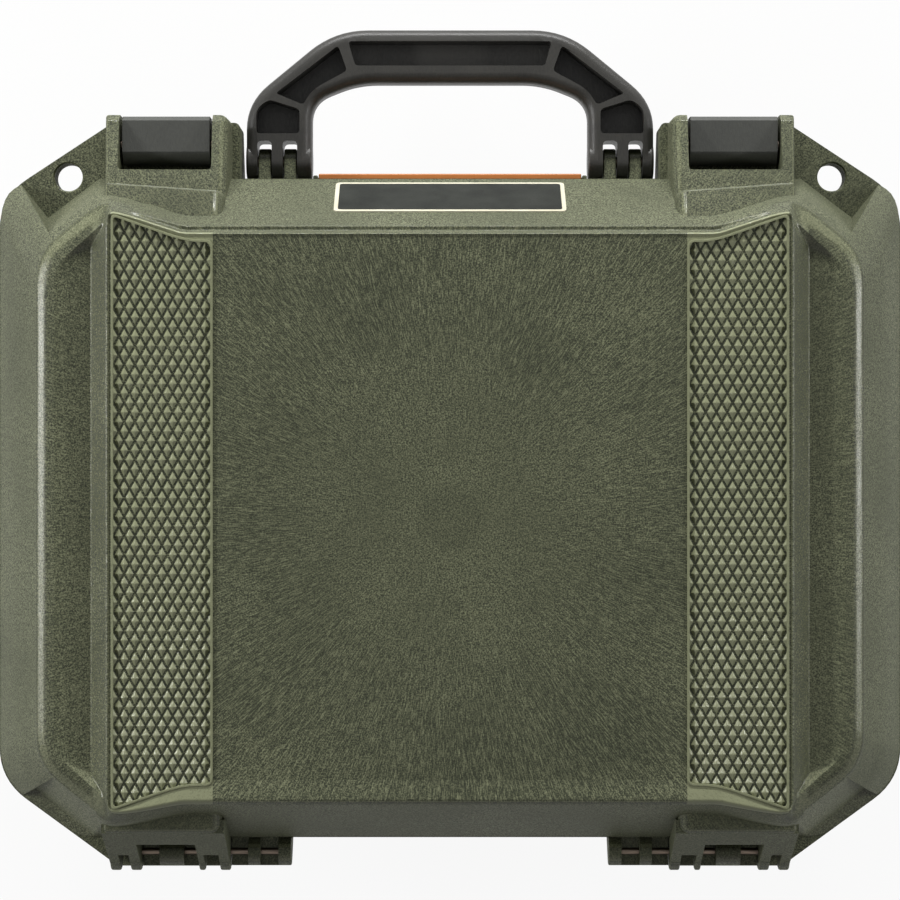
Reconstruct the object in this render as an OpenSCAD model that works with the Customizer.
// Lockable hard-shell pistol case: two moulded half shells on a pair of pinned
// hinges, a swinging carry handle, two push-button latches and foam inside.
// Millimetres. The case lies on its base: +Z up, front (handle, latches) at -Y,
// hinges at +Y. The origin is the centre of the base's underside.

/* [Overall] */
// Width of the parting flange, side to side
case_w = 405; // [360:1:486]
// Depth of the parting flange, front edge to back edge
case_d = 296; // [247:1:356]
// Height of the base half, floor to parting line
base_h = 98; // [82:1:118]
// Height of the lid half, parting line to the top of the grip strips
lid_h = 60; // [50:1:72]

/* [Shells] */
// Thickness of the moulded walls
wall = 4; // [3:0.1:5]
// Thickness of each half's parting flange
flange_t = 6; // [5:0.1:8]
// How far the flange stands out past the walls
flange_lip = 1.2; // [0.8:0.1:4]
// Gap between the two flanges when closed
parting_gap = 0.4; // [0.2:0.05:0.8]
// Lean of the lid's walls from upright, degrees
lid_lean = 24.5; // [15:0.5:26]
// Lean of the base's walls from upright, degrees
base_lean = 7; // [4:0.5:9]
// Radius of the flange's outer corners
corner_r = 12; // [6:0.5:16]
// Drop from the lid's top to the sunken panel along each side
side_step_h = 9; // [6:0.5:14]
// Width of the sunken panel along each side
side_step_w = 19.5; // [12:0.5:24]
// Height of the grip strips above the lid's top
strip_h = 0.8; // [0.4:0.1:1.5]
// Width of each grip strip
strip_w = 45; // [30:0.5:52]

/* [Padlock holes] */
// Radius of the padlock holes
padlock_r = 6.3; // [4:0.1:7]
// Padlock hole's distance from the side of the case
padlock_side = 31; // [26:0.5:36]
// How far the padlock hole lies in front of the front edge
padlock_reach = 0.7; // [0:0.1:3]

/* [Latches] */
// Width of a latch lever
latch_w = 41.4; // [34:0.2:46]
// Latch centre's distance from the side of the case
latch_side = 74.5; // [72:0.5:80]
// How far the latch towers stand out past the front edge
tower_reach = 27.6; // [24:0.2:32]
// Wall of a latch tower on the corner side of the lever
ear_outer_w = 5.2; // [4:0.1:7]
// Wall of a latch tower on the handle side of the lever
ear_inner_w = 8.2; // [6:0.1:10]
// Length of the lever, top to bottom
lever_l = 52; // [44:0.5:60]
// Height of the lever's top above the parting line
lever_top = 18; // [15:0.5:20]
// Radius of the round head that turns on the latch pin
lever_head_r = 9; // [7:0.1:9.5]
// Radius of the latch pins
latch_pin_r = 2; // [1.5:0.1:2.5]
// Width of a push button's face
button_w = 16.7; // [12:0.1:24]
// Height of a push button's face
button_h = 20; // [14:0.1:24]
// Travel of a push button
button_travel = 2; // [1.5:0.1:3]

/* [Handle] */
// Gap between the handle and each latch tower
handle_side_gap = 1.9; // [1.5:0.1:6]
// Width of each handle leg
leg_w = 30; // [24:0.5:34]
// Thickness of the handle
handle_t = 17; // [14:0.5:20]
// Reach of the handle from its pivot to the far face of the grip
handle_reach = 60; // [52:0.5:70]
// Depth of the grip bar
grip_d = 25; // [20:0.5:28]
// Radius of the handle pins
handle_pin_r = 2.5; // [1.5:0.1:3]
// Thickness of each handle lug on the base
lug_t = 5.6; // [4:0.1:7]
// Drop from the parting line to the handle's pivot
pivot_drop = 20; // [18:0.5:26]

/* [Hinges] */
// Hinge bracket's outer edge from the side of the case
hinge_side = 49.8; // [46:0.5:60]
// Radius of the hinge pins
hinge_pin_r = 1.6; // [1.2:0.1:2.2]
// How far the hinge axis lies behind the back edge
hinge_reach = 7.1; // [7:0.1:9]
// Radius of the lid's hinge legs about the axis
leg_r = 8.5; // [7.5:0.1:9.5]
// Radius of the base's hinge knuckles about the axis
knuckle_r = 6.4; // [5:0.1:6.8]

/* [Trim and foam] */
// Width of the blank label plate
label_w = 102; // [60:1:110]
// Height of the blank label plate along the slope
label_h = 30; // [20:0.5:32]
// Thickness of the blank label plate
label_t = 1.2; // [0.6:0.1:2]
// Thickness of the accent strip on the base's front
accent_t = 2.6; // [1.5:0.1:4]
// Height of the accent strip
accent_h = 11; // [6:0.5:12]
// Width of the seal
seal_w = 3.6; // [2.5:0.1:4]
// Thickness of the floor pad
floor_pad_t = 8; // [5:0.5:12]
// Height of the foam block on the floor pad
foam_block_h = 44; // [25:1:48]
// Thickness of the lid's foam pad
lid_pad_t = 22; // [12:0.5:26]

/* [Hidden] */
$fn = 48;

// Colours of the pieces
olive = "#4b5140";
black = "#1d1e1f";
orange = "#c8702a";
charcoal = "#2f3230";
steel = "#b9bcbd";
foam_grey = "#3a3c3e";
seal_black = "#161616";

// Clearances: pressed pins, turning pins, sliding sides and soft pieces
press_gap = 0.02;
turn_gap = 0.08;
side_gap = 0.6;
soft_gap = 0.3;
touch_gap = 0.4;

// Overall places
half_w = case_w / 2;
front_y = -case_d / 2;
back_y = case_d / 2;
base_top = base_h - parting_gap / 2;
lid_low = base_h + parting_gap / 2;
panel_h = lid_h - strip_h;
step_h = lid_h - side_step_h - strip_h;

// The walls' own outline where they meet the flange: width, depth and corner cuts
body_gap_y = 1;
body_w = half_w - flange_lip;
body_front = front_y + body_gap_y;
body_back = back_y - body_gap_y;
body_cut_x = 44;
body_cut_front = 30;
body_cut_back = 34;
body_r = 10;
arc_steps = 4;

// Latch places, right-hand latch
latch_x = half_w - latch_side;
notch_in = latch_x - latch_w / 2 - side_gap;
notch_out = latch_x + latch_w / 2 + side_gap;
tower_in = notch_in - ear_inner_w;
tower_out = notch_out + ear_outer_w;
tower_front = front_y - tower_reach;
lever_sink = 0.8;
pin_set_back = 12.2;
head_room = 1.6;
flank_w = 3.6;
lever_front = tower_front + lever_sink;
latch_pin_y = lever_front + pin_set_back;
latch_pin_z = base_h + lever_top - lever_head_r;
notch_back = latch_pin_y + lever_head_r + head_room;
lever_low = base_h + lever_top - lever_l;

// Push button: flange behind the face, pocket in the lever, hook plate behind
button_rise = 16;
button_z = lever_low + button_rise;
button_proud = 0.9;
button_lip = 1.2;
button_rim = 1.2;
button_rim_t = 1.2;
hook_plate_t = 2;
spring_r = 3;
spring_wire_r = 0.3;
spring_turns = 3;
spring_solid = 2 * spring_wire_r * (spring_turns + 0.2);
button_back = lever_front + button_lip + touch_gap + button_rim_t;
hook_front = button_back + button_travel + spring_solid;
lever_back = hook_front + hook_plate_t;
keeper_rise = 6;
keeper_h = 5;
keeper_z = button_z + keeper_rise;
nose_w = button_w;
nose_d = 1;
nose_h = 4;
base_notch_back = notch_back - 8;

// Handle places
pivot_reach = 10;
pivot_y = front_y - pivot_reach;
pivot_z = base_h - pivot_drop;
foot_r = handle_t / 2;
handle_w = tower_in - flank_w - handle_side_gap;
handle_in = handle_w - leg_w;
handle_far = pivot_y - handle_reach;
grip_in = handle_far + grip_d;
lug_r = 6;
lug_gap = 0.5;
lug_offsets = [7.2, 18.8];
lug_x = [for (off = lug_offsets) handle_in + off];

// Hinge places, right-hand hinge
hinge_out = half_w - hinge_side;
hinge_y = back_y + hinge_reach;
hinge_z = base_h;
hinge_gap = 0.6;
lid_leg_out = [[hinge_out - 4.5, hinge_out], [hinge_out - 13.7, hinge_out - 9.1]];
lid_leg_in = [[hinge_out - 42.5, hinge_out - 39.9], [hinge_out - 53.8, hinge_out - 49.3]];
lid_legs = concat(lid_leg_out, lid_leg_in);
base_knuckles = [
  [lid_legs[2][1] + hinge_gap, lid_legs[1][0] - hinge_gap],
  [lid_legs[3][0] - hinge_gap - 26.9, lid_legs[3][0] - hinge_gap]
];

// Foam places inside the shells
cavity_cut = 8.6;
floor_t = wall + 1;
floor_pad_z = floor_t + soft_gap;
foam_block_z = floor_pad_z + floor_pad_t + soft_gap;
lid_pad_top = lid_h + base_h - strip_h - wall - soft_gap;

function unit(v) = v / norm(v);
function left_of(v) = [-v.y, v.x];

// Moves every edge of an anticlockwise outline inwards by d
function inset(points, d) = let (n = len(points)) [
  for (i = [0:n - 1])
    let (
      a = left_of(unit(points[i] - points[(i + n - 1) % n])),
      b = left_of(unit(points[(i + 1) % n] - points[i]))
    )
    points[i] + d * (a + b) / (1 + a * b)
];

// Arc of radius r that rounds the corner between two edges
function corner_arc(before, at, after, r) = let (
  a = unit(before - at),
  b = unit(after - at),
  half = acos(a * b) / 2,
  centre = at + unit(a + b) * r / sin(half),
  first = at + a * r / tan(half) - centre,
  turn = (cross(at - before, after - at) > 0 ? 1 : -1) * (180 - 2 * half),
  start = atan2(first.y, first.x)
) [
  for (k = [0:arc_steps])
    centre + r * [cos(start + turn * k / arc_steps), sin(start + turn * k / arc_steps)]
];

// Rounds every corner of an outline; a radius of 0 leaves a corner sharp
function rounded(points, radii) = let (n = len(points)) [
  for (i = [0:n - 1])
    each radii[i] == 0 ? [points[i]]
      : corner_arc(points[(i + n - 1) % n], points[i], points[(i + 1) % n], radii[i])
];

// Right half of an outline followed by its mirror image, anticlockwise
function mirrored(points) = concat(
  points, [for (i = [len(points) - 1:-1:0]) [-points[i].x, points[i].y]]
);
function mirrored_radii(radii) = concat(radii, [for (i = [len(radii) - 1:-1:0]) radii[i]]);

// The walls' octagon, moved in by d on every side and by side more at each end
body_points = mirrored([
  [body_w - body_cut_x, body_front], [body_w, body_front + body_cut_front],
  [body_w, body_back - body_cut_back], [body_w - body_cut_x, body_back]
]);
function body_outline(d, side = 0) = [
  for (p = rounded(inset(body_points, d), [for (q = body_points) body_r]))
    [p.x - sign(p.x) * side, p.y]
];
function ring_at(points, z) = [for (p = points) [p.x, p.y, z]];
function lid_in(h) = h * tan(lid_lean);
function base_in(drop) = drop * tan(base_lean);

// Solid between stacked rings of equal length, lowest ring first
module loft(rings) {
  n = len(rings[0]);
  last = len(rings) - 1;
  polyhedron(
    points = [for (r = rings) each r],
    faces = concat(
      [[for (j = [0:n - 1]) j]],
      [[for (j = [n - 1:-1:0]) last * n + j]],
      [
        for (i = [0:last - 1], j = [0:n - 1])
          let (a = i * n + j, b = i * n + (j + 1) % n)
          each [[a, a + n, b + n], [a, b + n, b]]
      ]
    )
  );
}

// Extrudes a (y, z) profile along X from x0 to x1
module along_x(x0, x1) {
  translate([x0, 0, 0])
    rotate([90, 0, 90])
      linear_extrude(x1 - x0)
        children();
}

module rod_x(y, z, r, x0, x1) {
  translate([x0, y, z])
    rotate([0, 90, 0])
      cylinder(h = x1 - x0, r = r);
}

module both_sides() {
  children();
  mirror([1, 0, 0])
    children();
}

module left_side() {
  mirror([1, 0, 0])
    children();
}

// Flange outline of one half: corner ears run out to the latch towers in front,
// and the back corners run out to back_x at the y of back_end
ear_side = 8.4;
back_cut = 25.9;
back_tail = 10.4;
ear_front = tower_front + 4.4;
function flange_outline(inner_x, back_x, back_end) = rounded(
  mirrored([
    [inner_x, front_y], [inner_x, ear_front], [tower_out, ear_front],
    [half_w, front_y + ear_side], [half_w, back_y - back_cut],
    [back_x, back_end], [back_x, back_y]
  ]),
  mirrored_radii([0, 0, 0, corner_r, corner_r, 0, 0])
);
back_share = back_cut / (back_cut + back_tail);
base_back_x = half_w - back_share * (half_w - hinge_out);

module padlock_holes() {
  both_sides()
    translate([half_w - padlock_side, front_y - padlock_reach, base_h - 3 * flange_t])
      cylinder(h = 6 * flange_t, r = padlock_r);
}

// Outer form of the lid: leaning walls, a sunken panel along each side and the top
ridge_w = 2;
ridge_drop = 3;
step_rise = 0.2;
slope_w = 2.5;
top_drop = 1.7;
top_edge = 1.4;
step_side = side_step_w + ridge_w;
top_side = step_side + slope_w + 1;

module lid_body() {
  loft([
    ring_at(body_outline(0), lid_low),
    ring_at(body_outline(lid_in(step_h - ridge_drop)), base_h + step_h - ridge_drop),
    ring_at(body_outline(lid_in(step_h), ridge_w), base_h + step_h),
    ring_at(body_outline(lid_in(step_h + step_rise), step_side), base_h + step_h + step_rise),
    ring_at(body_outline(lid_in(panel_h - top_drop), step_side + slope_w), base_h + panel_h - top_drop),
    ring_at(body_outline(lid_in(panel_h) + top_edge, top_side), base_h + panel_h)
  ]);
}

lid_skin = wall / cos(lid_lean);

module lid_cavity() {
  low = 10;
  low_in = max(lid_in(low) + lid_skin, cavity_cut) + 0.1;
  step_in = lid_in(step_h - wall) + lid_skin;
  loft([
    ring_at(body_outline(cavity_cut), base_h - 1),
    ring_at(body_outline(low_in), base_h + low),
    ring_at(body_outline(step_in, ridge_w), base_h + step_h - wall),
    ring_at(body_outline(step_in + 0.1, step_side + 1), base_h + step_h - wall + step_rise),
    ring_at(body_outline(lid_in(panel_h - wall) + lid_skin, top_side), base_h + panel_h - wall)
  ]);
}

// Latch towers' side profiles, from the front face back into the walls: the ear's front and
// top on the lid, its rise to the wall, and the drop and slope of the base's tower
ear_h = 18.5;
ear_round = 3.5;
ear_back_h = 20.5;
tower_top_h = 36;
tower_root = body_front + lid_in(tower_top_h) + 1;
base_tower_set = 1.8;
base_tower_drop = 26;
base_tower_foot = 46;
base_tower_root = body_front + 14;

module lid_tower_profile() {
  polygon([
    [tower_front, lid_low], [tower_root, lid_low], [tower_root, base_h + tower_top_h],
    [body_front + lid_in(tower_top_h) - 7, base_h + tower_top_h], [notch_back, base_h + ear_back_h],
    [tower_front + ear_round, base_h + ear_h], [tower_front, base_h + ear_h - ear_round]
  ]);
}

module base_tower_profile() {
  polygon([
    [tower_front + base_tower_set, base_top], [tower_front + base_tower_set, base_h - base_tower_drop],
    [base_tower_root, base_h - base_tower_foot], [base_tower_root, base_top]
  ]);
}

// Hinge profiles about the hinge's axis: the lid's legs and the web between them, the base's knuckles
leg_root = -leg_r - 12;
leg_root_h = 26;
web_h = 13;
knuckle_root = -hinge_reach - 6;
knuckle_drop = 22;

module hinge_leg_profile() {
  circle(r = leg_r);
  polygon([[leg_root, parting_gap / 2], [0, parting_gap / 2], [0, leg_r], [leg_root, leg_root_h]]);
}

module hinge_web_profile() {
  polygon([[leg_root, parting_gap / 2], [-leg_r, parting_gap / 2], [-leg_r, web_h], [leg_root, leg_root_h]]);
}

module knuckle_profile() {
  low = knuckle_r * sin(45);
  circle(r = knuckle_r);
  polygon([
    [knuckle_root, -parting_gap / 2], [0, -parting_gap / 2], [low, -low], [knuckle_root, -knuckle_drop]
  ]);
}

// Grip strip on the lid's top, with ends that follow the shoulder
strip_margin = 1.2;
strip_end = 3;
strip_corner = [4, 6];
strip_flat = 15;

module grip_strip() {
  out_x = body_w - lid_in(panel_h) - top_edge - top_side - strip_margin;
  in_x = out_x - strip_w;
  near = body_front + lid_in(panel_h) + strip_end;
  far = body_back - lid_in(panel_h) - strip_end;
  translate([0, 0, base_h + panel_h - 1])
    linear_extrude(strip_h + 1)
      polygon([
        [in_x, near + strip_end], [in_x + strip_flat, near + strip_end], [out_x - strip_corner.x, near],
        [out_x, near + strip_corner.y], [out_x, far - strip_corner.y], [out_x - strip_corner.x, far],
        [in_x + strip_flat, far - strip_end], [in_x, far - strip_end]
      ]);
}

module lid_shell() {
  color(olive)
    difference() {
      union() {
        lid_body();
        translate([0, 0, lid_low])
          linear_extrude(flange_t)
            polygon(flange_outline(tower_in, hinge_out, back_y + back_tail));
        both_sides() {
          along_x(tower_in, tower_out)
            lid_tower_profile();
          grip_strip();
          translate([0, hinge_y, hinge_z]) {
            along_x(lid_legs[3][0], lid_legs[0][1])
              hinge_web_profile();
            for (leg = lid_legs)
              along_x(leg[0], leg[1])
                hinge_leg_profile();
          }
        }
      }
      lid_cavity();
      padlock_holes();
      both_sides() {
        translate([notch_in, tower_front - 5, base_h - 1])
          cube([notch_out - notch_in, notch_back - tower_front + 5, 60]);
        rod_x(latch_pin_y, latch_pin_z, latch_pin_r + press_gap, tower_in - 1, tower_out + 1);
        rod_x(hinge_y, hinge_z, hinge_pin_r + turn_gap, lid_legs[3][0] - 1, lid_legs[0][1] + 1);
        for (k = base_knuckles)
          rod_x(hinge_y, hinge_z, knuckle_r + touch_gap, k[0] - hinge_gap, k[1] + hinge_gap);
      }
    }
}

// Blank plate glued to the lid's front slope
label_mid_h = 22;

module label_plate() {
  color(charcoal)
    translate([0, body_front + lid_in(label_mid_h - parting_gap / 2), base_h + label_mid_h])
      rotate([-lid_lean, 0, 0])
        translate([-label_w / 2, -label_t, -label_h / 2])
          cube([label_w, label_t, label_h]);
}

// Outer form of the base: leaning walls and a bevelled foot
module base_body() {
  foot = 6;
  loft([
    ring_at(body_outline(base_in(base_h) + foot), 0),
    ring_at(body_outline(base_in(base_h - foot)), foot),
    ring_at(body_outline(0), base_top - 0.5)
  ]);
}

module base_cavity() {
  skin = wall / cos(base_lean);
  deep = base_h - floor_t;
  loft([
    ring_at(body_outline(base_in(deep) + skin + 3), floor_t),
    ring_at(body_outline(base_in(deep - 3) + skin), floor_t + 3),
    ring_at(body_outline(max(cavity_cut, base_in(20) + skin)), base_h - 20),
    ring_at(body_outline(cavity_cut), base_h + 1)
  ]);
}

// Seal's ring at the parting line, grown by gap on both sides
module seal_ring(gap, low, high) {
  translate([0, 0, low])
    linear_extrude(high - low)
      difference() {
        polygon(body_outline(1.2 - gap));
        polygon(body_outline(1.2 + seal_w + gap));
      }
}

// Handle lug on the base's front wall
lug_root = 18;
lug_flare = [6, 2];

module lug_profile() {
  circle(r = lug_r);
  polygon([
    [0, -lug_r], [lug_root, -lug_r - lug_flare[0]], [lug_root, lug_r + lug_flare[1]], [0, lug_r]
  ]);
}

// Bar across the base's latch notch that the hook's nose sits under
module latch_keeper() {
  keeper_front = lever_back + nose_d + touch_gap;
  translate([notch_in - 1, keeper_front, keeper_z])
    cube([notch_out - notch_in + 2, base_notch_back - keeper_front + 1, keeper_h]);
}

module base_shell() {
  color(olive) {
    base_moulding();
    both_sides()
      latch_keeper();
  }
}

// Ledge between the handle's legs that carries the accent strip, with a nub at each end
ledge_gap = 1.1;
nub_w = 2.2;
ledge_half = handle_in - ledge_gap;
ledge_low = base_top - accent_h - 3;

module base_outside() {
  base_body();
  translate([0, 0, base_top - flange_t])
    linear_extrude(flange_t)
      polygon(flange_outline(tower_in - flank_w, base_back_x, back_y));
  both_sides()
    along_x(tower_in - flank_w, tower_out)
      base_tower_profile();
  translate([-ledge_half, front_y, ledge_low])
    cube([2 * ledge_half, 10, base_top - ledge_low]);
}

// Room for the lid's hinge legs to turn in
module leg_room() {
  rod_x(hinge_y, hinge_z, leg_r + touch_gap, lid_legs[3][0] - hinge_gap, half_w - 20);
}

module base_fittings() {
  for (k = base_knuckles)
    translate([0, hinge_y, hinge_z])
      along_x(k[0], k[1])
        knuckle_profile();
  for (x = lug_x)
    translate([0, pivot_y, pivot_z])
      along_x(x, x + lug_t)
        lug_profile();
  translate([ledge_half - nub_w, front_y - accent_t + touch_gap, ledge_low + 1])
    cube([nub_w, accent_t, base_top - ledge_low - 2]);
}

// Window on top of a hinge knuckle, where the pin shows
knuckle_ring = 5;
module knuckle_window(k) {
  translate([k[0] + knuckle_ring, hinge_y - knuckle_r - 1, hinge_z + hinge_pin_r * 0.4])
    cube([k[1] - k[0] - 2 * knuckle_ring, 2 * knuckle_r + 2, knuckle_r + 1]);
}

seal_h = 2.6;
seal_room = 0.2;

module base_moulding() {
  difference() {
    union() {
      difference() {
        base_outside();
        both_sides()
          leg_room();
      }
      both_sides()
        base_fittings();
    }
    base_cavity();
    padlock_holes();
    seal_ring(seal_room, base_top - seal_h - seal_room, base_h + 2);
    both_sides() {
      translate([notch_in, tower_front - 5, 0])
        cube([notch_out - notch_in, base_notch_back - tower_front + 5, base_h + 2]);
      rod_x(hinge_y, hinge_z, hinge_pin_r + press_gap, base_knuckles[1][0] - 1, base_knuckles[0][1] + 1);
      rod_x(pivot_y, pivot_z, handle_pin_r + turn_gap, handle_in, handle_w);
      for (k = base_knuckles)
        knuckle_window(k);
    }
  }
}

module seal() {
  color(seal_black)
    seal_ring(0, base_top - seal_h, base_h);
}

module accent_strip() {
  strip_half = ledge_half - nub_w - soft_gap;
  color(orange)
    translate([-strip_half, front_y - accent_t, base_top - accent_h - 1.5])
      cube([2 * strip_half, accent_t, accent_h]);
}

module hinge_pin() {
  color(steel)
    rod_x(hinge_y, hinge_z, hinge_pin_r, base_knuckles[1][0] + 2, lid_legs[0][1] - 1);
}

module handle_pin() {
  color(steel)
    rod_x(pivot_y, pivot_z, handle_pin_r, handle_in + 2, handle_w - 1);
}

module latch_pin() {
  color(steel)
    rod_x(latch_pin_y, latch_pin_z, latch_pin_r, tower_in + 0.5, tower_out - 0.5);
}

// Handle seen from above: outline, finger opening and the pockets between ribs
leg_shoulder = 29;
bend_in = 41;
function handle_bow(out_x, far_y, bend_x) = mirrored([
  [out_x, pivot_y], [out_x, pivot_y - leg_shoulder + 9], [out_x - 4, pivot_y - leg_shoulder],
  [bend_x + 9, far_y + 2.5], [bend_x, far_y]
]);
rib = 3;
skirt = 4.2;

module handle_pockets() {
  depth = handle_t * 0.6;
  top_out = handle_far + skirt;
  top_in = grip_in - skirt;
  leg_top = pivot_y - leg_shoulder + 8;
  translate([0, 0, handle_t / 2 - depth])
    linear_extrude(depth + 1) {
      polygon([
        [-bend_in - 1, top_out], [bend_in + 1, top_out],
        [bend_in - 2, top_in], [-bend_in + 2, top_in]
      ]);
      both_sides() {
        polygon([
          [bend_in + rib + 2, top_out + 2], [handle_w - 15, leg_top - 9],
          [handle_in + 5, leg_top - 5], [bend_in + rib - 1, top_in]
        ]);
        polygon([
          [handle_w - 10, leg_top - 5.5], [handle_w - skirt, leg_top],
          [handle_w - skirt, pivot_y - 20], [handle_in + 5, pivot_y - 20],
          [handle_in + 5, leg_top]
        ]);
      }
    }
}

module handle() {
  color(black)
    difference() {
      union() {
        translate([0, 0, pivot_z - handle_t / 2])
          linear_extrude(handle_t)
            difference() {
              polygon(handle_bow(handle_w, handle_far, bend_in + 3));
              polygon(concat(
                [[handle_in, pivot_y + 1]],
                [[handle_in, pivot_y - leg_shoulder + 9], [bend_in, grip_in]],
                [[-bend_in, grip_in], [-handle_in, pivot_y - leg_shoulder + 9]],
                [[-handle_in, pivot_y + 1]]
              ));
            }
        both_sides()
          rod_x(pivot_y, pivot_z, foot_r, handle_in, handle_w);
      }
      translate([0, 0, pivot_z])
        handle_pockets();
      both_sides() {
        rod_x(pivot_y, pivot_z, handle_pin_r + press_gap, handle_in + 1.5, handle_w + 1);
        for (x = lug_x)
          translate([x - lug_gap, pivot_y - lug_r - 3, pivot_z - handle_t])
            cube([lug_t + 2 * lug_gap, 4 * lug_r, 2 * handle_t]);
      }
    }
}

// Lever: round head on the latch pin, front plate, pocket for the push button
module latch_lever() {
  x0 = latch_x - latch_w / 2;
  x1 = latch_x + latch_w / 2;
  top = base_h + lever_top;
  color(black)
    difference() {
      along_x(x0, x1)
        union() {
          translate([latch_pin_y, latch_pin_z])
            circle(r = lever_head_r);
          polygon([
            [lever_front, lever_low + 2], [lever_front + 2, lever_low], [lever_back, lever_low],
            [lever_back, latch_pin_z - lever_head_r + 1], [latch_pin_y, latch_pin_z - lever_head_r],
            [latch_pin_y, top], [lever_front + 2, top], [lever_front, top - 2]
          ]);
        }
      rod_x(latch_pin_y, latch_pin_z, latch_pin_r + turn_gap, x0 - 1, x1 + 1);
      button_window(touch_gap, lever_front - 1, lever_front + button_lip + 1);
      button_window(button_rim + touch_gap, lever_front + button_lip, lever_back + 1);
    }
}

// Block the size of the button's face, grown by gap all round
module button_window(gap, y0, y1) {
  translate([latch_x - button_w / 2 - gap, y0, button_z - button_h / 2 - gap])
    cube([button_w + 2 * gap, y1 - y0, button_h + 2 * gap]);
}

// Plate that closes the lever's pocket and carries the nose under the keeper
module latch_hook() {
  color(black)
    union() {
      button_window(button_rim + touch_gap - press_gap, hook_front, lever_back);
      translate([latch_x - nose_w / 2, lever_back, keeper_z - touch_gap - nose_h])
        cube([nose_w, nose_d, nose_h]);
    }
}

module latch_button() {
  rib_count = 6;
  rib_step = button_h / rib_count;
  color(black)
    union() {
      button_window(button_rim, button_back - button_rim_t, button_back);
      button_window(0, lever_front, button_back);
      for (i = [0:rib_count - 1])
        translate([
          latch_x - button_w / 2, lever_front - button_proud,
          button_z - button_h / 2 + (i + 0.2) * rib_step
        ])
          cube([button_w, button_proud, 0.6 * rib_step]);
    }
}

// Coil behind the button: one tube swept along a helix
module button_spring() {
  sides = 6;
  steps = 8 * spring_turns;
  length = hook_front - button_back - 2 * spring_wire_r - 2 * press_gap;
  rings = [
    for (i = [0:steps])
      let (turn = 360 * spring_turns * i / steps, rise = length * i / steps)
      [
        for (k = [0:sides - 1])
          let (tilt = 360 * k / sides, reach = spring_r + spring_wire_r * cos(tilt))
          [reach * cos(turn), reach * sin(turn), rise + spring_wire_r * sin(tilt)]
      ]
  ];
  echo(least_gap_between_curls = length / spring_turns - 2 * spring_wire_r);
  color(steel)
    translate([latch_x, button_back + spring_wire_r + press_gap, button_z])
      rotate([-90, 0, 0])
        loft(rings);
}

// Foam pads: slabs cut to the cavity's outline
module floor_pad() {
  color(foam_grey)
    translate([0, 0, floor_pad_z])
      linear_extrude(floor_pad_t)
        polygon(body_outline(base_in(base_h - floor_t) + wall + 5));
}

module foam_block() {
  color(foam_grey)
    translate([0, 0, foam_block_z])
      linear_extrude(foam_block_h)
        polygon(body_outline(base_in(base_h - foam_block_z) + wall + 3));
}

module lid_pad() {
  edge = lid_in(panel_h - wall) + wall / cos(lid_lean) + 1;
  color(foam_grey)
    translate([0, 0, lid_pad_top - lid_pad_t])
      linear_extrude(lid_pad_t)
        polygon(body_outline(edge, side_step_w + 6));
}

base_shell();
seal();
accent_strip();
floor_pad();
foam_block();
hinge_pin();  // hinge_pin_right
left_side() hinge_pin();  // hinge_pin_left
lid_shell();
label_plate();
lid_pad();
latch_pin();  // latch_pin_right
left_side() latch_pin();  // latch_pin_left
handle();
handle_pin();  // handle_pin_right
left_side() handle_pin();  // handle_pin_left
latch_lever();  // latch_lever_right
left_side() latch_lever();  // latch_lever_left
latch_hook();  // latch_hook_right
left_side() latch_hook();  // latch_hook_left
latch_button();  // latch_button_right
left_side() latch_button();  // latch_button_left
button_spring();  // button_spring_right
left_side() button_spring();  // button_spring_left
